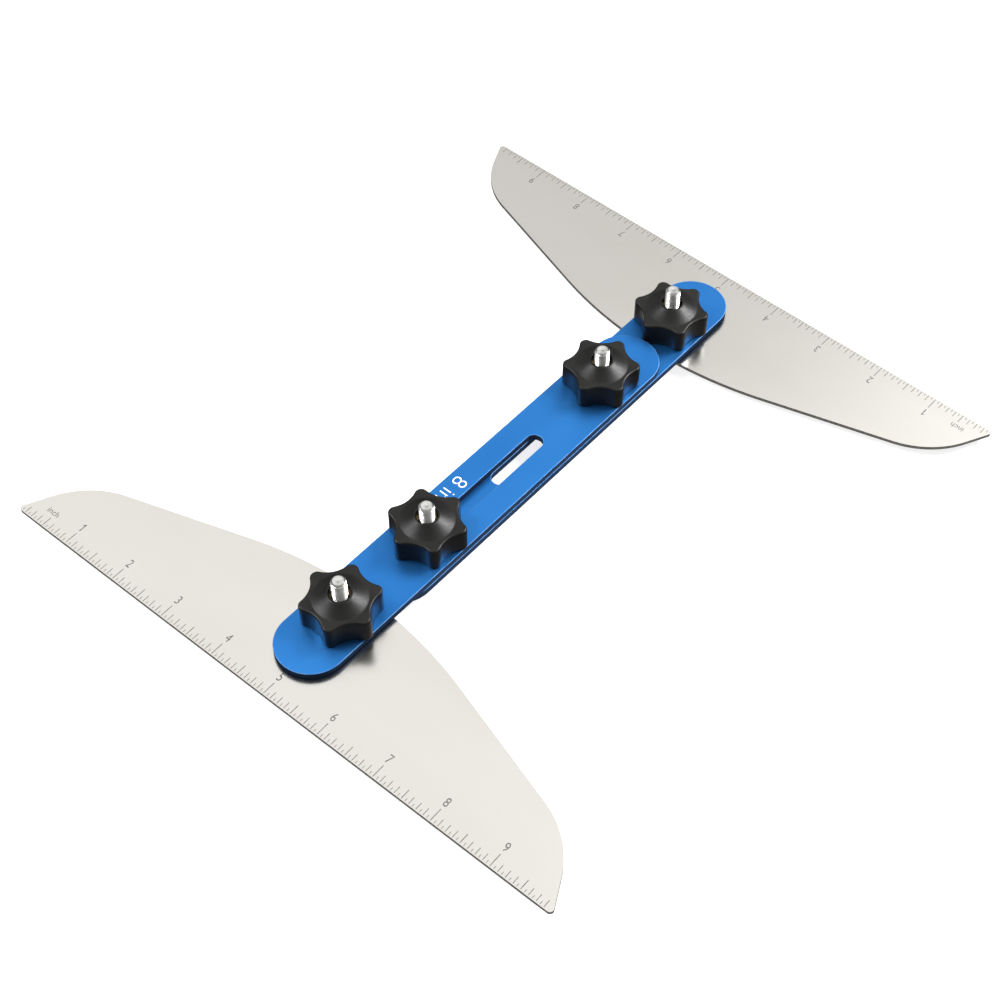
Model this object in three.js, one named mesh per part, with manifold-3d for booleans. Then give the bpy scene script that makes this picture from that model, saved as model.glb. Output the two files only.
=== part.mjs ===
// Adjustable layout gauge: two boat-shaped steel ruler blades, each swinging on a bolt at the
// outer end of a slotted flat bar. The two bars lie one on the other and slide to set the length,
// and four star knobs on carriage bolts clamp the whole. Millimetres, +Z up, bars along +Y.
import * as THREE from 'three';
import { mergeVertices } from 'three/addons/utils/BufferGeometryUtils.js';
import Module from 'manifold-3d';

const wasm = await Module();
wasm.setup();

// Clearance between plates that slide or turn on each other.
const PLATE_GAP = 0.2;

// Facets of round shapes, and how far a cutting solid reaches past the face that it cuts.
const ROUND_FACETS = 32;
const BLADE_ARC_FACETS = 10;
const BAR_ARC_FACETS = 16;
const STAR_ARC_FACETS = 4;
const STAR_EDGE_FACETS = 2;
const DOME_FACETS = 6;
const CUT_OVERRUN = 1;
const MERGE_TOLERANCE = 1e-4;

// Steel blade: a straight ruler edge of ten inches with a shallow hump behind it.
const BLADE = {
  length: 254,
  thickness: 1.5,
  humpHeight: 53,
  humpRadius: 168.6,
  flankSlope: THREE.MathUtils.degToRad(17.3),
  shoulderRadius: 36,
  endSlope: THREE.MathUtils.degToRad(26.8),
  tipRadius: 1.5,
  pivotFromEdge: 40.6,
};

// Flat bar of eight inches. Both bars are the same piece, one turned end for end.
const BAR = {
  length: 203.2,
  width: 27.5,
  thickness: 3,
  holeInset: 29,
  pivotHoleRadius: 4.5,
  slotStart: 36.8,
  slotEnd: 108.4,
  slotWidth: 7,
  edgeBreak: 0.3,
};
const HOLE_SPACING = BAR.length - 2 * BAR.holeInset;

// M6 x 25 carriage bolt: low domed head, square neck, chamfered tip.
const BOLT = {
  length: 25,
  shankRadius: 3,
  chamfer: 0.9,
  headRadius: 6.75,
  headHeight: 3,
  headRim: 0.6,
  neckSide: 5.8,
  neckHeight: 2.6,
  neckRoot: 1,
};
const NECK_HOLE_SIDE = 6.4;

// Star knob of moulded plastic: six lobes, a raised conical hub and a threaded bush inside.
const KNOB = {
  lobes: 6,
  tipRadius: 2.6,
  tipCentre: 12.4,
  hollowRadius: 10.7,
  hollowCentre: 22.5,
  rimHeight: 10,
  edgeRound: 0.6,
  hubRadius: 10.2,
  hubHeight: 13,
  hubTopRadius: 4.6,
  boreRadius: 4,
  pocketRadius: 5,
  pocketDepth: 9.4,
};
const BUSH = { innerRadius: 3.1, outerRadius: 4.8, height: 9, lift: 0.15 };

// Distance between the two blade pivots as the gauge is set, and how far each blade is off square.
const PIVOT_DISTANCE = 190.2;
const NEAR_BLADE_TURN = THREE.MathUtils.degToRad(1);
const FAR_BLADE_TURN = THREE.MathUtils.degToRad(179);

// The bolts along the bars, from the near pivot to the far one, and the way each knob points.
const STATIONS = [
  { name: 'near_pivot', y: 0, knobTurn: 55.3 },
  { name: 'near_clamp', y: PIVOT_DISTANCE - HOLE_SPACING, knobTurn: 22.6 },
  { name: 'far_clamp', y: HOLE_SPACING, knobTurn: 37.5 },
  { name: 'far_pivot', y: PIVOT_DISTANCE, knobTurn: 22.4 },
];

// Heights of the stacked plates, counted from the underside of the upper bar.
const LOWER_BAR_Z = -PLATE_GAP - BAR.thickness;
const NEAR_BLADE_Z = -PLATE_GAP - BLADE.thickness;
const FAR_BLADE_Z = LOWER_BAR_Z - PLATE_GAP - BLADE.thickness;
const BOLT_SEATS = {
  near_pivot: NEAR_BLADE_Z - PLATE_GAP,
  near_clamp: LOWER_BAR_Z - PLATE_GAP,
  far_clamp: LOWER_BAR_Z - PLATE_GAP,
  far_pivot: FAR_BLADE_Z - PLATE_GAP,
};
const UPPER_KNOB_Z = BAR.thickness + PLATE_GAP;
const FAR_PIVOT_KNOB_Z = LOWER_BAR_Z + BAR.thickness + PLATE_GAP;

const MATERIALS = {
  blade: { color: 0xd9d6cf, roughness: 0.35, metalness: 1 },
  bar: { color: 0x2f7fd0, roughness: 0.45, metalness: 0.6 },
  bolt: { color: 0xcfcfcc, roughness: 0.25, metalness: 1 },
  knob: { color: 0x1c1c1e, roughness: 0.5, metalness: 0 },
  bush: { color: 0xb8954a, roughness: 0.35, metalness: 1 },
};

function mesh(name, geometry, finish) {
  const piece = new THREE.Mesh(geometry, new THREE.MeshStandardMaterial(MATERIALS[finish]));
  piece.name = name;
  return piece;
}

// Solids of the boolean library, from and to three.js geometry.
function toSolid(geometry) {
  const bare = geometry.clone();
  bare.deleteAttribute('normal');
  bare.deleteAttribute('uv');
  const merged = mergeVertices(bare, MERGE_TOLERANCE);
  return new wasm.Manifold(new wasm.Mesh({
    numProp: 3,
    vertProperties: new Float32Array(merged.attributes.position.array),
    triVerts: new Uint32Array(merged.index.array),
  }));
}

function toGeometry(solid) {
  const result = solid.getMesh();
  const geometry = new THREE.BufferGeometry();
  geometry.setAttribute('position', new THREE.BufferAttribute(result.vertProperties, 3));
  geometry.setIndex(new THREE.BufferAttribute(result.triVerts, 1));
  geometry.computeVertexNormals();
  return geometry;
}

function lathe(points) {
  const profile = points.map(([radius, height]) => new THREE.Vector2(radius, height));
  return new THREE.LatheGeometry(profile, ROUND_FACETS).rotateX(Math.PI / 2);
}

function cylinder(radius, bottom, top) {
  return lathe([[0, bottom], [radius, bottom], [radius, top], [0, top]]);
}

function squareHole(side, y) {
  const half = side / 2;
  const hole = new THREE.Path();
  hole.moveTo(-half, y - half);
  hole.lineTo(-half, y + half);
  hole.lineTo(half, y + half);
  hole.lineTo(half, y - half);
  hole.closePath();
  return hole;
}

// Centre of a circle that touches two straight edges from inside, each edge given by the angle
// of its outward normal and its distance from the origin.
function touchingCentre(angleA, distanceA, angleB, distanceB, radius) {
  const a = distanceA - radius;
  const b = distanceB - radius;
  const det = Math.sin(angleB - angleA);
  return new THREE.Vector2(
    (a * Math.sin(angleB) - b * Math.sin(angleA)) / det,
    (b * Math.cos(angleA) - a * Math.cos(angleB)) / det,
  );
}

// Outline of a blade about its pivot hole, with the ruler edge towards -Y.
function bladeShape() {
  const edgeY = -BLADE.pivotFromEdge;
  const up = Math.PI / 2;
  const flank = up - BLADE.flankSlope;
  const tip = new THREE.Vector2(BLADE.length / 2 - BLADE.tipRadius, edgeY + BLADE.tipRadius);
  const humpY = edgeY + BLADE.humpHeight - BLADE.humpRadius;
  const endDistance = tip.x * Math.cos(BLADE.endSlope) + tip.y * Math.sin(BLADE.endSlope)
    + BLADE.tipRadius;
  const flankDistance = humpY * Math.sin(flank) + BLADE.humpRadius;
  const shoulder = touchingCentre(
    BLADE.endSlope, endDistance, flank, flankDistance, BLADE.shoulderRadius);
  const shape = new THREE.Shape();
  shape.absarc(tip.x, tip.y, BLADE.tipRadius, -up, BLADE.endSlope);
  shape.absarc(shoulder.x, shoulder.y, BLADE.shoulderRadius, BLADE.endSlope, flank);
  shape.absarc(0, humpY, BLADE.humpRadius, flank, Math.PI - flank);
  shape.absarc(-shoulder.x, shoulder.y, BLADE.shoulderRadius, Math.PI - flank,
    Math.PI - BLADE.endSlope);
  shape.absarc(-tip.x, tip.y, BLADE.tipRadius, Math.PI - BLADE.endSlope, 3 * up);
  shape.closePath();
  shape.holes.push(squareHole(NECK_HOLE_SIDE, 0));
  return shape;
}

function makeBlade(name) {
  const geometry = new THREE.ExtrudeGeometry(bladeShape(), {
    depth: BLADE.thickness,
    bevelEnabled: false,
    curveSegments: BLADE_ARC_FACETS,
  });
  return mesh(name, geometry, 'blade');
}

// Outline of a bar about its pivot hole, reaching towards +Y.
function barShape() {
  const half = BAR.width / 2;
  const nearCentre = half - BAR.holeInset;
  const farCentre = HOLE_SPACING + BAR.holeInset - half;
  const shape = new THREE.Shape();
  shape.absarc(0, nearCentre, half, Math.PI, 2 * Math.PI);
  shape.absarc(0, farCentre, half, 0, Math.PI);
  shape.closePath();
  const pivotHole = new THREE.Path();
  pivotHole.absarc(0, 0, BAR.pivotHoleRadius, 0, 2 * Math.PI, true);
  const slotHalf = BAR.slotWidth / 2;
  const slot = new THREE.Path();
  slot.absarc(0, BAR.slotStart + slotHalf, slotHalf, 0, -Math.PI, true);
  slot.absarc(0, BAR.slotEnd - slotHalf, slotHalf, Math.PI, 0, true);
  slot.closePath();
  shape.holes.push(pivotHole, slot, squareHole(NECK_HOLE_SIDE, HOLE_SPACING));
  return shape;
}

function makeBar(name) {
  const geometry = new THREE.ExtrudeGeometry(barShape(), {
    depth: BAR.thickness - 2 * BAR.edgeBreak,
    bevelThickness: BAR.edgeBreak,
    bevelSize: BAR.edgeBreak,
    bevelOffset: -BAR.edgeBreak,
    bevelSegments: 1,
    curveSegments: BAR_ARC_FACETS,
  });
  geometry.translate(0, 0, BAR.edgeBreak);
  return mesh(name, geometry, 'bar');
}

// Carriage bolt with its head's seat at z = 0 and its thread upwards.
function makeBolt(name) {
  const domeRise = BOLT.headHeight - BOLT.headRim;
  const domeRadius = (BOLT.headRadius ** 2 + domeRise ** 2) / (2 * domeRise);
  const domeSpan = Math.asin(BOLT.headRadius / domeRadius);
  const profile = [];
  for (let step = 0; step <= DOME_FACETS; step += 1) {
    const angle = (domeSpan * step) / DOME_FACETS;
    profile.push([
      domeRadius * Math.sin(angle),
      -BOLT.headHeight + domeRadius * (1 - Math.cos(angle)),
    ]);
  }
  profile.push(
    [BOLT.headRadius, 0],
    [BOLT.shankRadius, 0],
    [BOLT.shankRadius, BOLT.length - BOLT.chamfer],
    [BOLT.shankRadius - BOLT.chamfer, BOLT.length],
    [0, BOLT.length],
  );
  const neckLength = BOLT.neckHeight + BOLT.neckRoot;
  const neck = new THREE.BoxGeometry(BOLT.neckSide, BOLT.neckSide, neckLength);
  neck.translate(0, 0, (BOLT.neckHeight - BOLT.neckRoot) / 2);
  const solid = toSolid(lathe(profile)).add(toSolid(neck));
  return mesh(name, toGeometry(solid), 'bolt');
}

// Star outline of a knob: round lobe tips joined by hollow flanks.
function starShape() {
  const pitch = (2 * Math.PI) / KNOB.lobes;
  const half = pitch / 2;
  // Direction, seen from a lobe tip's centre, of the point where the tip runs into the hollow.
  const join = Math.atan2(
    KNOB.hollowCentre * Math.sin(half),
    KNOB.hollowCentre * Math.cos(half) - KNOB.tipCentre,
  );
  const shape = new THREE.Shape();
  for (let lobe = 0; lobe < KNOB.lobes; lobe += 1) {
    const angle = lobe * pitch;
    shape.absarc(
      KNOB.tipCentre * Math.cos(angle),
      KNOB.tipCentre * Math.sin(angle),
      KNOB.tipRadius,
      angle - join,
      angle + join,
    );
    shape.absarc(
      KNOB.hollowCentre * Math.cos(angle + half),
      KNOB.hollowCentre * Math.sin(angle + half),
      KNOB.hollowRadius,
      angle + join + Math.PI,
      angle + pitch - join + Math.PI,
      true,
    );
  }
  shape.closePath();
  return shape;
}

// Knob with its underside at z = 0: star rim, conical hub and a stepped bore for its bush.
function makeKnob(name) {
  const rim = new THREE.ExtrudeGeometry(starShape(), {
    depth: KNOB.rimHeight - 2 * KNOB.edgeRound,
    bevelThickness: KNOB.edgeRound,
    bevelSize: KNOB.edgeRound,
    bevelOffset: -KNOB.edgeRound,
    bevelSegments: STAR_EDGE_FACETS,
    curveSegments: STAR_ARC_FACETS,
  });
  rim.translate(0, 0, KNOB.edgeRound);
  const hub = lathe([
    [0, KNOB.rimHeight / 2],
    [KNOB.hubRadius, KNOB.rimHeight / 2],
    [KNOB.hubRadius, KNOB.rimHeight],
    [KNOB.hubTopRadius, KNOB.hubHeight],
    [0, KNOB.hubHeight],
  ]);
  const bore = cylinder(KNOB.boreRadius, KNOB.pocketDepth - CUT_OVERRUN,
    KNOB.hubHeight + CUT_OVERRUN);
  const pocket = cylinder(KNOB.pocketRadius, -CUT_OVERRUN, KNOB.pocketDepth);
  const solid = toSolid(rim)
    .add(toSolid(hub))
    .subtract(toSolid(bore))
    .subtract(toSolid(pocket));
  return mesh(name, toGeometry(solid), 'knob');
}

// Threaded bush moulded into a knob, with its underside at z = 0.
function makeBush(name) {
  const geometry = lathe([
    [BUSH.innerRadius, 0],
    [BUSH.outerRadius, 0],
    [BUSH.outerRadius, BUSH.height],
    [BUSH.innerRadius, BUSH.height],
    [BUSH.innerRadius, 0],
  ]);
  return mesh(name, geometry, 'bush');
}

function place(piece, y, z, turn = 0) {
  piece.position.set(0, y, z);
  piece.rotation.z = turn;
  return piece;
}

const gauge = new THREE.Group();
gauge.add(
  place(makeBar('upper_bar'), 0, 0),
  place(makeBar('lower_bar'), PIVOT_DISTANCE, LOWER_BAR_Z, Math.PI),
  place(makeBlade('near_blade'), 0, NEAR_BLADE_Z, NEAR_BLADE_TURN),
  place(makeBlade('far_blade'), PIVOT_DISTANCE, FAR_BLADE_Z, FAR_BLADE_TURN),
);
// Each pivot bolt's square neck sits in its blade's square hole, so it is turned with the blade.
const BOLT_TURNS = { near_pivot: NEAR_BLADE_TURN, far_pivot: FAR_BLADE_TURN };
for (const { name, y, knobTurn } of STATIONS) {
  const knobZ = name === 'far_pivot' ? FAR_PIVOT_KNOB_Z : UPPER_KNOB_Z;
  gauge.add(
    place(makeBolt(`${name}_bolt`), y, BOLT_SEATS[name], BOLT_TURNS[name] ?? 0),
    place(makeKnob(`${name}_knob`), y, knobZ, THREE.MathUtils.degToRad(knobTurn)),
    place(makeBush(`${name}_bush`), y, knobZ + BUSH.lift),
  );
}

// The gauge stands with the middle of its footprint at the origin and its lowest point at z = 0.
const box = new THREE.Box3().setFromObject(gauge, true);
const middle = box.getCenter(new THREE.Vector3());
gauge.position.set(-middle.x, -middle.y, -box.min.z);
gauge.updateMatrixWorld(true);

const group = new THREE.Group();
group.add(gauge);
export default group;
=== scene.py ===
"""Adjustable layout gauge: its looks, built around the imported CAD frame.

Blender works in metres and so does the frame, with +Z up and the bars along +Y. The pieces'
own dimensions are given in millimetres, as on a drawing, and scaled once when a mesh is made.
"""
import math

import bmesh
import bpy
from mathutils import Matrix, Vector


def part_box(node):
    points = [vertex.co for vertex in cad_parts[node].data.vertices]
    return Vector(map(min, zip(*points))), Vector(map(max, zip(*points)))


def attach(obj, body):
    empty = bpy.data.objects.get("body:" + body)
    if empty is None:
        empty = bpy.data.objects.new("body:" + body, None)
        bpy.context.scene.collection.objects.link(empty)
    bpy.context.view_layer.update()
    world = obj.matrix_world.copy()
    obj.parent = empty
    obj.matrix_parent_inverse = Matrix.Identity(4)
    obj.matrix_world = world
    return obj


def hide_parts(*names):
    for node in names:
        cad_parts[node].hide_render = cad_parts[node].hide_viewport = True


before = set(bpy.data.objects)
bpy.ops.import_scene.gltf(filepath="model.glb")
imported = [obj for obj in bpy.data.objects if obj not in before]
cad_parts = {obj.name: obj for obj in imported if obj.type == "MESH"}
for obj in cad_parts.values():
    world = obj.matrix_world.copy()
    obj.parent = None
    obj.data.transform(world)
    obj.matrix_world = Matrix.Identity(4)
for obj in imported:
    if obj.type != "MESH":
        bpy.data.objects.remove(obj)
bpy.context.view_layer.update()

MM = 0.001
INCH = 25.4

# --- fineness of the meshes -----------------------------------------------------------------

# Steps along each arc of an outline, and round a turned piece.
ARC_STEPS = {
    "blade_tip": 8,
    "blade_shoulder": 24,
    "blade_hump": 24,
    "bar_end": 64,
    "slot_end": 32,
    "pivot_hole": 48,
    "neck_corner": 4,
    "knob_lobe": 12,
    "knob_hollow": 12,
}
ROUND_STEPS = 48
PLATE_EDGE_STEPS = 3
# Points closer than these, in millimetres, are one point.
NEAREST_POINTS = 0.02
NEAREST_MARK_POINTS = 1e-4
# Faces that meet at more than this have a crease between them.
CREASE_ANGLE = math.radians(35)

# --- dimensions, in millimetres ------------------------------------------------------------

BLADE = {
    "length": 254.0,
    "hump_height": 53.0,
    "hump_radius": 168.6,
    "flank_slope": math.radians(17.3),
    "shoulder_radius": 36.0,
    "end_slope": math.radians(26.8),
    "tip_radius": 1.5,
    "pivot_from_edge": 40.6,
    "edge_round": 0.06,
}
BLADE_TURN = {"near": math.radians(1), "far": math.radians(179)}

BAR = {
    "length": 203.2,
    "width": 27.5,
    "hole_inset": 29.0,
    "pivot_hole_radius": 4.5,
    "slot_start": 36.8,
    "slot_end": 108.4,
    "slot_width": 7.0,
    "edge_round": 0.22,
}
HOLE_SPACING = BAR["length"] - 2 * BAR["hole_inset"]
BAR_TURN = {"upper": 0.0, "lower": math.pi}
NECK_HOLE = {"side": 6.4, "corner": 0.3}

BOLT = {
    "length": 25.0,
    "major_radius": 2.97,
    "thread_depth": 0.58,
    "pitch": 1.0,
    "thread_start": 3.3,
    "runout": 1.2,
    "chamfer": 0.9,
    "head_radius": 6.75,
    "head_height": 3.0,
    "head_rim": 0.6,
    "dome_steps": 12,
    "neck_half": 2.9,
    "neck_corner": 0.35,
    "neck_height": 2.6,
    "ease": 0.15,
    "rings_per_pitch": 14,
    "dimple_radius": 0.75,
    "dimple_depth": 0.2,
}

KNOB = {
    "lobes": 6,
    "tip_radius": 2.6,
    "tip_centre": 12.4,
    "hollow_radius": 10.7,
    "hollow_centre": 22.5,
    "rim_height": 10.0,
    "rim_round": 0.75,
    "foot_round": 0.4,
    "round_steps": 4,
    "parting_height": 1.2,
    "parting_groove": 0.06,
    "hub_radius": 10.2,
    "hub_height": 13.0,
    "hub_top_radius": 4.6,
    "bore_radius": 4.0,
    "pocket_radius": 5.0,
    "pocket_depth": 9.4,
    "pocket_ease": 0.3,
    "bore_ease": 0.2,
}
# Narrow flat band just inside a knob's rounded rim.
TOP_BAND = 0.08
# Rings where the flat top turns up into the cone: out from the hub's radius, and up.
HUB_FOOT = ((0.4, 0), (0.3, 0), (0.08, 0.02))
# The cone is straight between these distances from the hub's radius and from its crown's.
CONE_FROM_FOOT, CONE_FROM_CROWN = 0.25, 0.45
# Rings that round the crown: out from its radius, and down from the hub's height.
HUB_CROWN = ((0.15, 0.05), (-0.1, 0))
# The ring at the mouth of the bore: out from the bore's radius, and down.
BORE_LIP = (0.12, 0.03)
# The way each knob's first lobe points, in degrees from +X.
KNOB_TURN = {"near_pivot": 55.3, "near_clamp": 22.6, "far_clamp": 37.5, "far_pivot": 22.4}
BOLT_BODY = {
    "near_pivot": "near_blade",
    "near_clamp": "lower_bar",
    "far_clamp": "upper_bar",
    "far_pivot": "far_blade",
}
# A bolt's square neck is turned the way of the blade or bar that the bolt moves with. The far
# clamp bolt moves with the upper bar, though its neck lies in the lower bar's slot.
BOLT_TURN = {
    "near_pivot": BLADE_TURN["near"],
    "near_clamp": BAR_TURN["lower"],
    "far_clamp": BAR_TURN["upper"],
    "far_pivot": BLADE_TURN["far"],
}

BUSH = {
    "bore_radius": 3.1,
    "radius": 4.8,
    "height": 9.0,
    "knurls": 30,
    "steps_per_knurl": 4,
    "knurl_depth": 0.22,
    "groove_depth": 0.45,
    "groove_low": 3.6,
    "groove_high": 5.4,
    "chamfer": 0.35,
}

# Graduations: tick ends are counted from the ruler edge. A tick takes the size of the first
# division in the list that it falls on, so the coarsest comes first.
SCALE = {
    "inches": 10,
    "parts": 16,
    "parts_bare": 2,
    "tick_foot": 0.5,
    "tick_top": {16: 5.95, 8: 4.6, 2: 3.5, 1: 1.75},
    "tick_width": {16: 0.3, 8: 0.3, 2: 0.26, 1: 0.22},
    "numeral_foot": 7.25,
    "numeral_height": 3.6,
    "numeral_squeeze": 0.8,
    "flag_reach": 0.85,
    "flag_start_drop": 0.2375,
    "flag_drop": 0.95,
    "flag_width": 0.34,
    "unit_foot": 5.95,
    "unit_height": 2.4,
    "unit_centre": 11.5,
    "unit_squeeze": 1.0,
}
MARK_PROUD = 0.012
MARK_SUNK = 0.02
# Size mark on the upper bar: centre along the bar and across it, and its capital height.
SIZE_MARK = {
    "text": "8 in",
    "along": 67.2,
    "across": -8.3,
    "height": 5.9,
    "squeeze": 1.04,
    "thinning": 0.018,
}

# --- camera, light and floor ----------------------------------------------------------------

# Lengths here are in metres, but for the lens and the sensor, which are in millimetres. Azimuths
# run from -Y towards +X, and they and the elevations are in degrees.
CAMERA = {
    "aim": Vector((0.0074, -0.0194, 0.0100)),
    "azimuth": 41.075,
    "elevation": 51.588,
    "roll": math.radians(-0.309),
    "distance": 0.6523,
    "lens": 63.18,
    "sensor": 36.0,
}
FLOOR_SIZE = 6.0
FLOOR_GLOW = 0.8
BACKDROP_RADIUS = 2.9
BACKDROP_HEIGHT = 3.0
BACKDROP_GLOW = 1.0
STAGE_COLOUR = (0.5, 0.5, 0.5)
STAGE_ROUGHNESS = 0.9
SKY_COLOUR = (1, 0.995, 0.98, 1)
# Parts of the surroundings: each goes from low to high as a direction nears its axis. The panel
# hangs where the flat faces mirror it, and its slope dims what the far blade mirrors of it. The
# side glow is mirrored by that blade's right-hand end. The room is brighter above than below.
PANEL = {"axis": (-0.408, 0.468, 0.784), "start": 0.66, "end": 0.88, "low": 0.0, "high": 0.60}
PANEL_SLOPE = {"axis": (0.35, -0.9, 0.2), "start": -0.52, "end": -0.38, "low": 0.42, "high": 1.0}
SIDE_GLOW = {"axis": (0.05, 0.62, 0.78), "start": 0.93, "end": 0.95, "low": 0.0, "high": 0.58}
ROOM = {"axis": (0, 0, 1), "start": 0.1, "end": 0.5, "low": 0.11, "high": 0.44}
LEFT_BOX = {"azimuth": -56, "elevation": 50, "distance": 1.3, "size": 0.45, "power": 11}
RIGHT_BOX = {"azimuth": 152, "elevation": 42, "distance": 1.3, "size": 0.45, "power": 24}


# --- meshes ---------------------------------------------------------------------------------

def arc(centre_x, centre_y, radius, start, end, steps):
    """Points on an arc, both ends included."""
    angles = [start + (end - start) * step / steps for step in range(steps + 1)]
    return [
        (centre_x + radius * math.cos(a), centre_y + radius * math.sin(a)) for a in angles
    ]


def without_repeats(points):
    """The closed outline, less each point that lies on the one before it."""
    kept = []
    for point in points:
        if not kept or math.dist(point, kept[-1]) > NEAREST_POINTS:
            kept.append(point)
    if math.dist(kept[0], kept[-1]) <= NEAREST_POINTS:
        kept.pop()
    return kept


def inset(points, distance):
    """A closed outline moved to its left, which is into the material."""
    moved = []
    count = len(points)
    for index, (x, y) in enumerate(points):
        before = Vector(points[index - 1])
        after = Vector(points[(index + 1) % count])
        here = Vector((x, y))
        into = (here - before).normalized()
        out = (after - here).normalized()
        normal = Vector((-into.y - out.y, into.x + out.x))
        normal = normal / (1 + into.dot(out))
        moved.append((x + normal.x * distance, y + normal.y * distance))
    return moved


def ring(mesh, points, height):
    return [mesh.verts.new((x * MM, y * MM, height * MM)) for x, y in points]


def bridge(mesh, low, high, material=0):
    """Faces between two rings with the same number of points, counter-clockwise from above."""
    count = len(low)
    for index in range(count):
        after = (index + 1) % count
        face = mesh.faces.new((low[index], low[after], high[after], high[index]))
        face.material_index = material
        face.smooth = True


def close(mesh, points, centre_height, upward):
    """Fan from a ring to a point on the axis."""
    centre = mesh.verts.new((0, 0, centre_height * MM))
    count = len(points)
    for index in range(count):
        after = (index + 1) % count
        pair = (points[index], points[after]) if upward else (points[after], points[index])
        face = mesh.faces.new((*pair, centre))
        face.smooth = True


def finished(mesh, name):
    """The bmesh as an object, creased where faces meet sharply. Flat faces stay flat."""
    data = bpy.data.meshes.new(name)
    mesh.to_mesh(data)
    mesh.free()
    smooth = [face.use_smooth for face in data.polygons]
    data.set_sharp_from_angle(angle=CREASE_ANGLE)
    data.polygons.foreach_set("use_smooth", smooth)
    piece = bpy.data.objects.new(name, data)
    bpy.context.scene.collection.objects.link(piece)
    return piece


PLATE_CAP, PLATE_SIDE, PLATE_ROUND = range(3)


def plate(name, outlines, thickness, round_radius):
    """Flat plate with rounded edges. Its rim runs counter-clockwise and its holes clockwise.

    Its side's material goes down round the lower edge, and the upper edge has one of its own.
    """
    mesh = bmesh.new()
    bottoms, tops = [], []
    for outline in outlines:
        levels = []
        for step in range(PLATE_EDGE_STEPS + 1):
            angle = math.pi / 2 * step / PLATE_EDGE_STEPS
            levels.append((
                round_radius * (1 - math.sin(angle)),
                round_radius * (1 - math.cos(angle)),
            ))
        levels += [(depth, thickness - height) for depth, height in reversed(levels)]
        rings = [ring(mesh, inset(outline, depth), height) for depth, height in levels]
        for index, (low, high) in enumerate(zip(rings, rings[1:])):
            bridge(mesh, low, high, PLATE_ROUND if index > PLATE_EDGE_STEPS else PLATE_SIDE)
        bottoms.append(rings[0])
        tops.append(rings[-1])
    for rings, up in ((bottoms, -1), (tops, 1)):
        edges = [
            mesh.edges.get((loop[index - 1], loop[index]))
            for loop in rings for index in range(len(loop))
        ]
        made = bmesh.ops.triangle_fill(
            mesh, edges=edges, use_beauty=True, use_dissolve=False, normal=(0, 0, up))
        for face in made["geom"]:
            if isinstance(face, bmesh.types.BMFace):
                face.material_index = PLATE_CAP
                face.smooth = False
                if face.normal.z * up < 0:
                    face.normal_flip()
    return finished(mesh, name)


# --- outlines -------------------------------------------------------------------------------

def touching_centre(angle_a, distance_a, angle_b, distance_b, radius):
    """Centre of a circle inside two straight edges, given by their outward normals."""
    a = distance_a - radius
    b = distance_b - radius
    spread = math.sin(angle_b - angle_a)
    return (
        (a * math.sin(angle_b) - b * math.sin(angle_a)) / spread,
        (b * math.cos(angle_a) - a * math.cos(angle_b)) / spread,
    )


def blade_outline():
    """Ruler edge towards -Y, shallow hump behind it, about the pivot hole."""
    edge = -BLADE["pivot_from_edge"]
    end = BLADE["end_slope"]
    flank = math.pi / 2 - BLADE["flank_slope"]
    tip_radius = BLADE["tip_radius"]
    tip_x = BLADE["length"] / 2 - tip_radius
    tip_y = edge + tip_radius
    hump_y = edge + BLADE["hump_height"] - BLADE["hump_radius"]
    shoulder_x, shoulder_y = touching_centre(
        end, tip_x * math.cos(end) + tip_y * math.sin(end) + tip_radius,
        flank, hump_y * math.sin(flank) + BLADE["hump_radius"],
        BLADE["shoulder_radius"],
    )
    half = arc(tip_x, tip_y, tip_radius, -math.pi / 2, end, ARC_STEPS["blade_tip"])
    half += arc(
        shoulder_x, shoulder_y, BLADE["shoulder_radius"], end, flank, ARC_STEPS["blade_shoulder"])
    half += arc(0, hump_y, BLADE["hump_radius"], flank, math.pi / 2, ARC_STEPS["blade_hump"])
    mirrored = [(-x, y) for x, y in reversed(half)]
    return without_repeats(half + mirrored)


def bar_outline():
    """Round-ended bar about its pivot hole, reaching towards +Y."""
    half = BAR["width"] / 2
    far = HOLE_SPACING + BAR["hole_inset"] - half
    near = half - BAR["hole_inset"]
    points = arc(0, near, half, math.pi, 2 * math.pi, ARC_STEPS["bar_end"])
    points += arc(0, far, half, 0, math.pi, ARC_STEPS["bar_end"])
    return without_repeats(points)


def slot_outline():
    """Round-ended slot along the middle of the bar, clockwise."""
    half = BAR["slot_width"] / 2
    steps = ARC_STEPS["slot_end"]
    points = arc(0, BAR["slot_start"] + half, half, 2 * math.pi, math.pi, steps)
    points += arc(0, BAR["slot_end"] - half, half, math.pi, 0, steps)
    return without_repeats(points)


def pivot_hole():
    """Round hole at the origin, clockwise."""
    points = arc(0, 0, BAR["pivot_hole_radius"], 2 * math.pi, 0, ARC_STEPS["pivot_hole"])
    return without_repeats(points)


def neck_hole(centre_y):
    """Square hole with small corner radii, clockwise."""
    corner = NECK_HOLE["corner"]
    reach = NECK_HOLE["side"] / 2 - corner
    outline = []
    quarters = ((1, 1, math.pi / 2), (1, -1, 0), (-1, -1, -math.pi / 2), (-1, 1, math.pi))
    for sign_x, sign_y, start in quarters:
        outline += arc(
            sign_x * reach, centre_y + sign_y * reach, corner, start, start - math.pi / 2,
            ARC_STEPS["neck_corner"])
    return without_repeats(outline)


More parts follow.
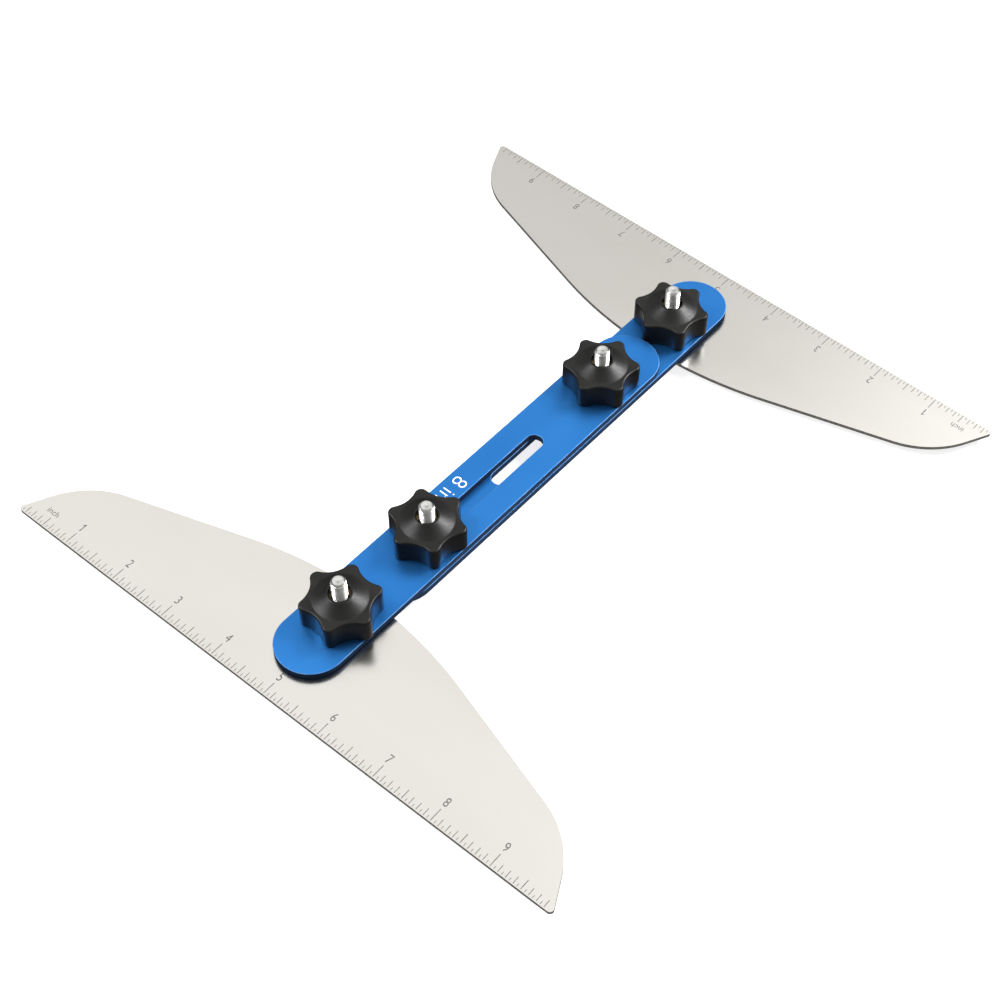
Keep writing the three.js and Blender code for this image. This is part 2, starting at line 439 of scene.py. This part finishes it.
def star_outline():
    """Six round lobe tips joined by hollow flanks, counter-clockwise."""
    pitch = 2 * math.pi / KNOB["lobes"]
    half = pitch / 2
    join = math.atan2(
        KNOB["hollow_centre"] * math.sin(half),
        KNOB["hollow_centre"] * math.cos(half) - KNOB["tip_centre"],
    )
    points = []
    for lobe in range(KNOB["lobes"]):
        angle = lobe * pitch
        points += arc(
            KNOB["tip_centre"] * math.cos(angle), KNOB["tip_centre"] * math.sin(angle),
            KNOB["tip_radius"], angle - join, angle + join, ARC_STEPS["knob_lobe"])
        points += arc(
            KNOB["hollow_centre"] * math.cos(angle + half),
            KNOB["hollow_centre"] * math.sin(angle + half),
            KNOB["hollow_radius"],
            angle + join + math.pi, angle + pitch - join + math.pi, ARC_STEPS["knob_hollow"])
    return without_repeats(points)


# --- pieces ---------------------------------------------------------------------------------

def turn(piece, angle):
    """Turn the piece's mesh about its own vertical axis."""
    piece.data.transform(Matrix.Rotation(angle, 4, "Z"))


def stand_for(piece, node, body, materials):
    """The piece takes the CAD node's place, body and finish."""
    for material in materials:
        piece.data.materials.append(material)
    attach(piece, body)
    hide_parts(node)
    return piece


def axis_point(node):
    """Middle of a round node's box in plan, at its underside."""
    low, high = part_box(node)
    return Vector(((low.x + high.x) / 2, (low.y + high.y) / 2, low.z))


def thickness_of(node):
    low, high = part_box(node)
    return (high.z - low.z) / MM


def make_blade(side, materials):
    node = f"{side}_blade"
    outlines = [blade_outline(), neck_hole(0)]
    piece = plate(f"{node}_sheet", outlines, thickness_of(node), BLADE["edge_round"])
    pivot = axis_point(f"{side}_pivot_bolt")
    piece.location = (pivot.x, pivot.y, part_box(node)[0].z)
    turn(piece, BLADE_TURN[side])
    return stand_for(piece, node, node, materials)


def make_bar(side, pivot_node, materials):
    node = f"{side}_bar"
    outlines = [bar_outline(), slot_outline(), pivot_hole(), neck_hole(HOLE_SPACING)]
    piece = plate(f"{node}_plate", outlines, thickness_of(node), BAR["edge_round"])
    pivot = axis_point(pivot_node)
    piece.location = (pivot.x, pivot.y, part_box(node)[0].z)
    turn(piece, BAR_TURN[side])
    return stand_for(piece, node, node, materials)


def circle(radius, steps=ROUND_STEPS):
    return [
        (radius * math.cos(2 * math.pi * step / steps),
         radius * math.sin(2 * math.pi * step / steps))
        for step in range(steps)
    ]


def rounded_square(half, corner):
    """Points of a square with round corners, at even angles about its centre."""
    points = []
    for step in range(ROUND_STEPS):
        angle = 2 * math.pi * step / ROUND_STEPS
        x, y = abs(math.cos(angle)), abs(math.sin(angle))
        radius = half / max(x, y)
        core = half - corner
        if min(x, y) * radius > core:
            middle = core * (x + y)
            radius = middle + math.sqrt(middle * middle - 2 * core * core + corner * corner)
        points.append((radius * math.cos(angle), radius * math.sin(angle)))
    return points


def thread_radius(angle, height):
    """Radius of a right-hand M6 thread, with its run-out and its chamfered start."""
    phase = (height / BOLT["pitch"] - angle / (2 * math.pi)) % 1
    from_crest = min(phase, 1 - phase)
    # Shares of the pitch: half the crest's width, and where the root begins.
    crest_half, root_start = 1 / 16, 3 / 8
    fall = min(max((from_crest - crest_half) / (root_start - crest_half), 0), 1)
    depth = BOLT["thread_depth"] * min(1, (height - BOLT["thread_start"]) / BOLT["runout"])
    tip = BOLT["length"] - BOLT["chamfer"]
    limit = BOLT["major_radius"] - max(0, height - tip)
    return min(BOLT["major_radius"] - max(depth, 0) * fall, limit)


def thread_ring(height):
    points = []
    for step in range(ROUND_STEPS):
        angle = 2 * math.pi * step / ROUND_STEPS
        radius = thread_radius(angle, height)
        points.append((radius * math.cos(angle), radius * math.sin(angle)))
    return points


def bolt_sections():
    """Rings of a carriage bolt from its domed head upwards, each with its height."""
    rise = BOLT["head_height"] - BOLT["head_rim"]
    dome_radius = (BOLT["head_radius"] ** 2 + rise ** 2) / (2 * rise)
    span = math.asin(BOLT["head_radius"] / dome_radius)
    sections = []
    for step in range(1, BOLT["dome_steps"] + 1):
        angle = span * step / BOLT["dome_steps"]
        height = -BOLT["head_height"] + dome_radius * (1 - math.cos(angle))
        sections.append((circle(dome_radius * math.sin(angle)), height))
    rim, ease = BOLT["head_radius"], BOLT["ease"]
    sections += [(circle(rim), -ease), (circle(rim - ease), 0)]
    neck, corner = BOLT["neck_half"], BOLT["neck_corner"]
    sections += [
        (rounded_square(neck, corner), 0),
        (rounded_square(neck, corner), BOLT["neck_height"] - ease),
        (rounded_square(neck - ease, corner), BOLT["neck_height"]),
        (circle(BOLT["major_radius"] - ease), BOLT["neck_height"]),
        (circle(BOLT["major_radius"]), BOLT["neck_height"] + ease),
    ]
    spacing = BOLT["pitch"] / BOLT["rings_per_pitch"]
    count = round((BOLT["length"] - BOLT["thread_start"]) / spacing)
    for step in range(count + 1):
        height = min(BOLT["thread_start"] + step * spacing, BOLT["length"])
        sections.append((thread_ring(height), height))
    sections.append((circle(BOLT["dimple_radius"]), BOLT["length"]))
    return sections


def make_bolt(station, materials):
    node = f"{station}_bolt"
    mesh = bmesh.new()
    sections = bolt_sections()
    rings = [ring(mesh, points, height) for points, height in sections]
    for low, high in zip(rings, rings[1:]):
        bridge(mesh, low, high)
    close(mesh, rings[0], -BOLT["head_height"], upward=False)
    close(mesh, rings[-1], BOLT["length"] - BOLT["dimple_depth"], upward=True)
    piece = finished(mesh, f"{node}_threaded")
    piece.location = axis_point(node) + Vector((0, 0, BOLT["head_height"] * MM))
    turn(piece, BOLT_TURN[station])
    return stand_for(piece, node, BOLT_BODY[station], materials)


def knob_sections(star):
    """Rings round a knob's wall: up its outside, over the hub, down the bore and back."""
    def shrunk(depth):
        return inset(star, depth)

    def round_ring(radius):
        return [(radius * x / math.hypot(x, y), radius * y / math.hypot(x, y)) for x, y in star]

    rim, foot = KNOB["rim_round"], KNOB["foot_round"]
    top, part = KNOB["rim_height"], KNOB["parting_height"]
    steps = KNOB["round_steps"]
    sections = []
    for step in range(steps + 1):
        angle = math.pi / 2 * step / steps
        sections.append((
            shrunk(foot * (1 - math.sin(angle))), foot * (1 - math.cos(angle))))
    groove = KNOB["parting_groove"]
    sections += [
        (shrunk(0), part - groove), (shrunk(groove), part), (shrunk(0), part + groove)]
    for step in range(steps + 1):
        angle = math.pi / 2 * step / steps
        sections.append((
            shrunk(rim * (1 - math.cos(angle))), top - rim * (1 - math.sin(angle))))
    hub, crown, peak = KNOB["hub_radius"], KNOB["hub_top_radius"], KNOB["hub_height"]
    rise = (peak - top) / (hub - crown)
    sections.append((shrunk(rim + TOP_BAND), top))
    sections += [(round_ring(hub + out), top + up) for out, up in HUB_FOOT]
    for radius in (hub - CONE_FROM_FOOT, (hub + crown) / 2, crown + CONE_FROM_CROWN):
        sections.append((round_ring(radius), top + (hub - radius) * rise))
    sections += [(round_ring(crown + out), peak - down) for out, down in HUB_CROWN]
    bore, pocket, ease = KNOB["bore_radius"], KNOB["pocket_radius"], KNOB["pocket_ease"]
    lip_out, lip_down = BORE_LIP
    sections += [
        (round_ring(bore + lip_out), peak - lip_down),
        (round_ring(bore), peak - KNOB["bore_ease"]),
        (round_ring(bore), KNOB["pocket_depth"]),
        (round_ring(pocket), KNOB["pocket_depth"]),
        (round_ring(pocket), ease),
        (round_ring(pocket + ease), 0),
    ]
    return sections


def make_knob(station, materials):
    node = f"{station}_knob"
    mesh = bmesh.new()
    rings = [ring(mesh, points, height) for points, height in knob_sections(star_outline())]
    for low, high in zip(rings, rings[1:] + rings[:1]):
        bridge(mesh, low, high)
    piece = finished(mesh, f"{node}_moulding")
    centre = axis_point(f"{station}_bolt")
    piece.location = (centre.x, centre.y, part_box(node)[0].z)
    turn(piece, math.radians(KNOB_TURN[station]))
    return stand_for(piece, node, node, materials)


def knurled(radius, depth, steps):
    """Outline with straight knurls, as many as the bush has."""
    per_knurl = BUSH["steps_per_knurl"]
    points = []
    for step in range(steps):
        low = step % per_knurl >= per_knurl / 2
        reach = radius - (depth if low else 0)
        angle = 2 * math.pi * step / steps
        points.append((reach * math.cos(angle), reach * math.sin(angle)))
    return points


def make_bush(station, materials):
    node = f"{station}_bush"
    steps = BUSH["knurls"] * BUSH["steps_per_knurl"]
    bore, radius, height = BUSH["bore_radius"], BUSH["radius"], BUSH["height"]
    ease, depth = BUSH["chamfer"], BUSH["knurl_depth"]
    teeth = knurled(radius, depth, steps)
    waist = circle(radius - BUSH["groove_depth"], steps)
    sections = [
        (circle(bore + ease, steps), 0), (circle(radius - depth - ease, steps), 0),
        (circle(radius - depth, steps), ease), (teeth, ease + depth),
        (teeth, BUSH["groove_low"]), (waist, BUSH["groove_low"]),
        (waist, BUSH["groove_high"]), (teeth, BUSH["groove_high"]),
        (teeth, height - ease - depth), (circle(radius - depth, steps), height - ease),
        (circle(radius - depth - ease, steps), height), (circle(bore + ease, steps), height),
        (circle(bore, steps), height - ease), (circle(bore, steps), ease),
    ]
    mesh = bmesh.new()
    rings = [ring(mesh, points, level) for points, level in sections]
    for low, high in zip(rings, rings[1:] + rings[:1]):
        bridge(mesh, low, high)
    piece = finished(mesh, f"{node}_insert")
    piece.location = axis_point(node)
    return stand_for(piece, node, node, materials)


# --- graduations and marks ------------------------------------------------------------------

def text_mesh(text, height, squeeze, thinning):
    """A line of plain lettering as a flat face, centred left to right, foot at y = 0."""
    curve = bpy.data.curves.new("lettering", "FONT")
    curve.body = text
    curve.size = 1
    curve.offset = -thinning
    curve.align_x = "CENTER"
    holder = bpy.data.objects.new("lettering", curve)
    bpy.context.scene.collection.objects.link(holder)
    bpy.context.view_layer.update()
    data = bpy.data.meshes.new_from_object(
        holder.evaluated_get(bpy.context.evaluated_depsgraph_get()))
    bpy.data.objects.remove(holder)
    ups = [v.co.y for v in data.vertices]
    sides = [v.co.x for v in data.vertices]
    scale = height / (max(ups) - min(ups))
    middle = (max(sides) + min(sides)) / 2
    data.transform(
        Matrix.Diagonal((scale * squeeze, scale, 1, 1))
        @ Matrix.Translation((-middle, -min(ups), 0)))
    return data


def thicken(mesh, faces, low, high):
    """Flat faces at z = 0 become closed solids from low to high."""
    for vert in {v for face in faces for v in face.verts}:
        vert.co.z = high
    made = bmesh.ops.extrude_face_region(mesh, geom=faces, use_keep_orig=True)
    for vert in (g for g in made["geom"] if isinstance(g, bmesh.types.BMVert)):
        vert.co.z = low


def add_text(mesh, text, x, y, height, squeeze, thinning=0.0):
    data = text_mesh(text, height, squeeze, thinning)
    data.transform(Matrix.Translation((x, y, 0)))
    mesh.from_mesh(data)
    bpy.data.meshes.remove(data)


def add_stroke(mesh, start, end, width):
    """Straight stroke with square ends, as a flat face."""
    start, end = Vector((*start, 0)), Vector((*end, 0))
    along = (end - start).normalized()
    across = Vector((-along.y, along.x, 0)) * width / 2
    corners = (start - across, end - across, end + across, start + across)
    mesh.faces.new([mesh.verts.new(corner) for corner in corners])


def marks_object(mesh, name, material):
    """Lettering and ticks, drawn in millimetres, as thin closed solids."""
    bmesh.ops.remove_doubles(mesh, verts=mesh.verts, dist=NEAREST_MARK_POINTS)
    thicken(mesh, mesh.faces[:], -MARK_SUNK, MARK_PROUD)
    bmesh.ops.recalc_face_normals(mesh, faces=mesh.faces)
    mesh.transform(Matrix.Scale(MM, 4))
    for face in mesh.faces:
        face.smooth = False
    piece = finished(mesh, name)
    piece.data.materials.append(material)
    return piece


def make_scale(side, material):
    """Inch graduations along a blade's ruler edge, zero at its left-hand end.

    The last two parts before the right-hand end have no mark.
    """
    node = f"{side}_blade"
    edge = -BLADE["pivot_from_edge"]
    zero = -BLADE["length"] / 2
    mesh = bmesh.new()
    parts = SCALE["parts"]
    last = SCALE["inches"] * parts - SCALE["parts_bare"]
    for part in range(1, last + 1):
        level = next(step for step in SCALE["tick_top"] if part % step == 0)
        x = zero + part * INCH / parts
        add_stroke(
            mesh, (x, edge + SCALE["tick_foot"]), (x, edge + SCALE["tick_top"][level]),
            SCALE["tick_width"][level])
    for inch in range(1, SCALE["inches"]):
        add_text(
            mesh, str(inch), zero + inch * INCH, edge + SCALE["numeral_foot"],
            SCALE["numeral_height"], SCALE["numeral_squeeze"])
    one_x = zero + INCH
    one_y = edge + SCALE["numeral_foot"] + SCALE["numeral_height"]
    add_stroke(
        mesh, (one_x, one_y - SCALE["flag_start_drop"]),
        (one_x - SCALE["flag_reach"], one_y - SCALE["flag_drop"]), SCALE["flag_width"])
    add_text(
        mesh, "inch", zero + SCALE["unit_centre"], edge + SCALE["unit_foot"],
        SCALE["unit_height"], SCALE["unit_squeeze"])
    piece = marks_object(mesh, f"{node}_graduations", material)
    pivot = axis_point(f"{side}_pivot_bolt")
    piece.location = (pivot.x, pivot.y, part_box(node)[1].z)
    turn(piece, BLADE_TURN[side])
    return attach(piece, node)


def make_size_mark(material):
    """Size mark between the slot and the edge of the upper bar, read along the bar."""
    mesh = bmesh.new()
    add_text(
        mesh, SIZE_MARK["text"], 0, 0, SIZE_MARK["height"], SIZE_MARK["squeeze"],
        SIZE_MARK["thinning"])
    piece = marks_object(mesh, "upper_bar_size_mark", material)
    pivot = axis_point("near_pivot_bolt")
    across = SIZE_MARK["across"] - SIZE_MARK["height"] / 2
    piece.location = (
        pivot.x + across * MM,
        pivot.y + SIZE_MARK["along"] * MM,
        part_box("upper_bar")[1].z,
    )
    turn(piece, -math.pi / 2)
    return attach(piece, "upper_bar")


# --- materials ------------------------------------------------------------------------------

class Finish:
    """One material and the few kinds of node that its surface detail is built from."""

    def __init__(self, name, colour, metallic, roughness):
        self.material = bpy.data.materials.new(name)
        self.material.use_nodes = True
        self.nodes = self.material.node_tree.nodes
        self.links = self.material.node_tree.links
        self.shader = self.nodes["Principled BSDF"]
        self.shader.inputs["Base Color"].default_value = (*colour, 1)
        self.shader.inputs["Metallic"].default_value = metallic
        self.shader.inputs["Roughness"].default_value = roughness
        self.place = self.nodes.new("ShaderNodeTexCoord").outputs["Object"]
        self.heights = []

    def noise(self, per_metre, detail=2.0):
        """Noise with its own number of features per metre along X, Y and Z."""
        mapping = self.nodes.new("ShaderNodeMapping")
        mapping.inputs["Scale"].default_value = per_metre
        texture = self.nodes.new("ShaderNodeTexNoise")
        texture.inputs["Scale"].default_value = 1.0
        texture.inputs["Detail"].default_value = detail
        self.links.new(self.place, mapping.inputs["Vector"])
        self.links.new(mapping.outputs["Vector"], texture.inputs["Vector"])
        return texture.outputs["Fac"]

    def between(self, value, low, high, start=0.3, end=0.7):
        """The value spread over a range of its own."""
        spread = self.nodes.new("ShaderNodeMapRange")
        spread.inputs["From Min"].default_value = start
        spread.inputs["From Max"].default_value = end
        spread.inputs["To Min"].default_value = low
        spread.inputs["To Max"].default_value = high
        self.links.new(value, spread.inputs["Value"])
        return spread.outputs["Result"]

    def colours(self, value, first, second):
        """Base colour that drifts between two colours."""
        mix = self.nodes.new("ShaderNodeMix")
        mix.data_type = "RGBA"
        colour_in = [s for s in mix.inputs if s.type == "RGBA"]
        colour_in[0].default_value = (*first, 1)
        colour_in[1].default_value = (*second, 1)
        share = self.between(value, 0, 1, start=0.35, end=0.65)
        self.links.new(share, mix.inputs["Factor"])
        colour_out = next(s for s in mix.outputs if s.type == "RGBA")
        self.links.new(colour_out, self.shader.inputs["Base Color"])

    def roughness(self, value, low, high):
        self.links.new(self.between(value, low, high), self.shader.inputs["Roughness"])

    def relief(self, value, depth):
        """Bump of a real depth in metres, on top of any before it."""
        bump = self.nodes.new("ShaderNodeBump")
        bump.inputs["Distance"].default_value = depth
        bump.inputs["Strength"].default_value = 1.0
        self.links.new(value, bump.inputs["Height"])
        if self.heights:
            self.links.new(self.heights[-1], bump.inputs["Normal"])
        self.heights.append(bump.outputs["Normal"])
        self.links.new(bump.outputs["Normal"], self.shader.inputs["Normal"])


def blade_face():
    """Satin stainless sheet, finely brushed along its length."""
    finish = Finish("blade_satin_steel", (0.80, 0.78, 0.74), 1.0, 0.28)
    brush = finish.noise((90, 6500, 900), detail=2)
    drift = finish.noise((9, 26, 20))
    finish.colours(drift, (0.79, 0.77, 0.725), (0.82, 0.80, 0.765))
    finish.roughness(brush, 0.20, 0.26)
    finish.relief(brush, 3e-7)
    return finish.material


def blade_edge():
    """Sheared edge of the sheet: duller, with fine upright marks. Its dark colour is painted
    shade on the side faces and rounded edges.
    """
    finish = Finish("blade_sheared_edge_painted_shade", (0.24, 0.23, 0.21), 0.6, 0.5)
    shear = finish.noise((2600, 2600, 120), detail=3)
    # Painted shade: both colours are dark so that the sheet's sides read as shaded.
    finish.colours(shear, (0.19, 0.182, 0.165), (0.29, 0.278, 0.255))
    finish.roughness(shear, 0.4, 0.6)
    finish.relief(shear, 6e-6)
    return finish.material


def bar_face():
    """Blue anodised aluminium, with the fine grain of the etched metal under it."""
    finish = Finish("bar_blue_anodised", (0.024, 0.18, 0.52), 0.85, 0.4)
    grain = finish.noise((3000, 2200, 3000), detail=3)
    drift = finish.noise((30, 12, 30))
    finish.colours(drift, (0.020, 0.163, 0.49), (0.027, 0.193, 0.55))
    finish.roughness(grain, 0.34, 0.46)
    finish.relief(grain, 2.5e-6)
    return finish.material


def bar_edge():
    """Sawn and anodised side of a bar: quite dull, with marks along it, and painted nearly black
    as shade, down round its lower edge too.
    """
    finish = Finish("bar_side_painted_shade", (0.018, 0.032, 0.065), 0.0, 0.7)
    finish.shader.inputs["Specular IOR Level"].default_value = 0.0
    streak = finish.noise((400, 60, 2600), detail=3)
    # Painted shade: both colours are near black so that the bar's sides read as shaded.
    finish.colours(streak, (0.012, 0.024, 0.052), (0.026, 0.044, 0.086))
    finish.roughness(streak, 0.6, 0.8)
    finish.relief(streak, 4e-6)
    return finish.material


def bar_round():
    """Broken upper edge of a bar, where handling has worn the blue thin. Its paler blue is also a
    painted highlight along the rim.
    """
    finish = Finish("bar_worn_round_painted_highlight", (0.06, 0.21, 0.52), 0.4, 0.55)
    wear_and_highlight = finish.noise((260, 260, 900), detail=4)
    # Partly wear and partly painted highlight: the paler colour lightens the rim as light falling
    # on it would.
    finish.colours(wear_and_highlight, (0.03, 0.18, 0.50), (0.13, 0.28, 0.55))
    finish.roughness(wear_and_highlight, 0.48, 0.62)
    return finish.material


def zinc():
    """Bright zinc plating, a little uneven."""
    finish = Finish("bolt_bright_zinc", (0.63, 0.63, 0.615), 1.0, 0.24)
    bloom = finish.noise((500, 500, 260), detail=4)
    finish.colours(bloom, (0.56, 0.56, 0.54), (0.70, 0.70, 0.69))
    finish.roughness(bloom, 0.24, 0.38)
    finish.relief(finish.noise((2600, 2600, 2600)), 4e-6)
    return finish.material


def plastic():
    """Black moulded plastic with a fine spark-eroded texture."""
    finish = Finish("knob_black_plastic", (0.006, 0.0058, 0.0055), 0.0, 0.36)
    finish.shader.inputs["Specular IOR Level"].default_value = 0.26
    grain = finish.noise((2400, 2400, 2400), detail=3)
    drift = finish.noise((120, 120, 90))
    finish.colours(drift, (0.0045, 0.0043, 0.0041), (0.0085, 0.0082, 0.0077))
    finish.roughness(grain, 0.32, 0.46)
    finish.relief(grain, 9e-6)
    return finish.material


def brass():
    """Turned brass with fine tool marks round it, painted dark as shade down in the knob's bore.
    """
    finish = Finish("bush_turned_brass", (0.62, 0.44, 0.17), 1.0, 0.3)
    turning = finish.noise((60, 60, 5200), detail=2)
    painted_shade_drift = finish.noise((300, 300, 300), detail=3)
    # Painted shade: these colours are far darker than brass, standing in for the shade in the gap
    # round the bolt.
    finish.colours(painted_shade_drift, (0.13, 0.088, 0.038), (0.21, 0.15, 0.065))
    finish.roughness(turning, 0.22, 0.38)
    finish.relief(turning, 3e-6)
    return finish.material


def etched():
    """Dark etched marks, a little uneven in depth."""
    finish = Finish("mark_etched", (0.10, 0.098, 0.088), 0.0, 0.6)
    finish.shader.inputs["Specular IOR Level"].default_value = 0.2
    patch = finish.noise((700, 700, 700), detail=3)
    finish.colours(patch, (0.075, 0.072, 0.064), (0.15, 0.146, 0.132))
    finish.roughness(patch, 0.5, 0.7)
    return finish.material


def printed():
    """White printed marks, thin enough for the blue to dull them slightly."""
    finish = Finish("mark_printed_white", (0.86, 0.89, 0.93), 0.0, 0.45)
    patch = finish.noise((900, 900, 900), detail=3)
    finish.colours(patch, (0.80, 0.85, 0.91), (0.90, 0.92, 0.94))
    finish.roughness(patch, 0.4, 0.55)
    return finish.material


# --- studio ---------------------------------------------------------------------------------

def pale(name, strength):
    """Matt pale finish for the stage, which gives off light of its own."""
    finish = Finish(name, STAGE_COLOUR, 0.0, STAGE_ROUGHNESS)
    finish.shader.inputs["Emission Color"].default_value = (1, 1, 1, 1)
    finish.shader.inputs["Emission Strength"].default_value = strength
    return finish


def floor():
    """Pale floor that glows, so that shadows on it stay faint. Nothing mirrors it."""
    mesh = bmesh.new()
    bmesh.ops.create_grid(mesh, x_segments=1, y_segments=1, size=FLOOR_SIZE / 2)
    piece = finished(mesh, "floor")
    finish = pale("floor_pale", FLOOR_GLOW)
    finish.shader.inputs["Specular IOR Level"].default_value = 0.1
    piece.data.materials.append(finish.material)
    piece.visible_glossy = False


def backdrop():
    """Pale round wall that stands on the floor, which the eye sees and the gauge doesn't."""
    mesh = bmesh.new()
    wall = circle(BACKDROP_RADIUS / MM)
    bridge(mesh, ring(mesh, wall, 0), ring(mesh, wall, BACKDROP_HEIGHT / MM))
    piece = finished(mesh, "backdrop")
    piece.data.materials.append(pale("backdrop_pale", BACKDROP_GLOW).material)
    piece.visible_glossy = False
    piece.visible_diffuse = False
    piece.visible_shadow = False


def direction(azimuth, elevation):
    """Unit vector from the object towards an eye at that azimuth and elevation, in degrees."""
    bearing, rise = math.radians(azimuth), math.radians(elevation)
    flat = math.cos(rise)
    return Vector((math.sin(bearing) * flat, -math.cos(bearing) * flat, math.sin(rise)))


def soft_light(name, unlit, azimuth, elevation, distance, size, power):
    """Square soft box that looks at the middle of the gauge, and leaves some pieces unlit."""
    lamp = bpy.data.lights.new(name, "AREA")
    lamp.shape = "SQUARE"
    lamp.size = size
    lamp.energy = power
    light = bpy.data.objects.new(name, lamp)
    bpy.context.scene.collection.objects.link(light)
    back = direction(azimuth, elevation)
    light.location = CAMERA["aim"] + back * distance
    light.rotation_euler = back.to_track_quat("Z", "Y").to_euler()
    light.light_linking.receiver_collection = unlit


def glow(nodes, links, place, axis, start, end, low, high):
    """Strength that goes smoothly from low to high as a direction nears the axis."""
    nearness = nodes.new("ShaderNodeVectorMath")
    nearness.operation = "DOT_PRODUCT"
    nearness.inputs[1].default_value = axis
    spread = nodes.new("ShaderNodeMapRange")
    spread.interpolation_type = "SMOOTHSTEP"
    spread.inputs["From Min"].default_value = start
    spread.inputs["From Max"].default_value = end
    spread.inputs["To Min"].default_value = low
    spread.inputs["To Max"].default_value = high
    links.new(place, nearness.inputs[0])
    links.new(nearness.outputs["Value"], spread.inputs["Value"])
    return spread.outputs["Result"]


def surroundings():
    """A large soft sky panel behind and above the gauge, in a dim room."""
    world = bpy.data.worlds.new("studio")
    world.use_nodes = True
    bpy.context.scene.world = world
    nodes, links = world.node_tree.nodes, world.node_tree.links
    place = nodes.new("ShaderNodeTexCoord").outputs["Generated"]
    panel = glow(nodes, links, place, **PANEL)
    slope = glow(nodes, links, place, **PANEL_SLOPE)
    side = glow(nodes, links, place, **SIDE_GLOW)
    room = glow(nodes, links, place, **ROOM)

    def joined(operation, first, second):
        step = nodes.new("ShaderNodeMath")
        step.operation = operation
        links.new(first, step.inputs[0])
        links.new(second, step.inputs[1])
        return step.outputs["Value"]

    sky = joined("ADD", joined("MULTIPLY", panel, slope), side)
    links.new(joined("ADD", sky, room), nodes["Background"].inputs["Strength"])
    nodes["Background"].inputs["Color"].default_value = SKY_COLOUR


def camera():
    """The eye, turned a little about its own line of sight."""
    data = bpy.data.cameras.new("camera")
    data.lens = CAMERA["lens"]
    data.sensor_width = CAMERA["sensor"]
    eye = bpy.data.objects.new("camera", data)
    bpy.context.scene.collection.objects.link(eye)
    back = direction(CAMERA["azimuth"], CAMERA["elevation"])
    eye.location = CAMERA["aim"] + back * CAMERA["distance"]
    eye.rotation_mode = "QUATERNION"
    roll = Matrix.Rotation(CAMERA["roll"], 4, "Z").to_quaternion()
    eye.rotation_quaternion = (-back).to_track_quat("-Z", "Y") @ roll
    bpy.context.scene.camera = eye


def kept_unlit(pieces):
    """Collection that keeps a light off its pieces, and lets it reach all others."""
    group = bpy.data.collections.new("unlit_by_boxes")
    for piece in pieces:
        group.objects.link(piece)
    for entry in group.collection_objects:
        entry.light_linking.link_state = "EXCLUDE"
    return group


def studio(blades):
    """The boxes stay off the blades, which would mirror them as white patches."""
    camera()
    floor()
    backdrop()
    surroundings()
    unlit = kept_unlit(blades)
    soft_light("left_box", unlit, **LEFT_BOX)
    soft_light("right_box", unlit, **RIGHT_BOX)
    bpy.context.scene.view_settings.view_transform = "Standard"


# --- the gauge ------------------------------------------------------------------------------

def gauge():
    """All the pieces. It gives back the blade sheets, which the soft boxes leave unlit."""
    steel = [blade_face(), blade_edge(), blade_edge()]
    anodised = [bar_face(), bar_edge(), bar_round()]
    mark = etched()
    bolt_finish, knob_finish, bush_finish = zinc(), plastic(), brass()
    blades = [make_blade(side, steel) for side in ("near", "far")]
    for side in ("near", "far"):
        make_scale(side, mark)
    make_bar("upper", "near_pivot_bolt", anodised)
    make_bar("lower", "far_pivot_bolt", anodised)
    make_size_mark(printed())
    for station in KNOB_TURN:
        make_bolt(station, [bolt_finish])
        make_knob(station, [knob_finish])
        make_bush(station, [bush_finish])
    return blades


studio(gauge())
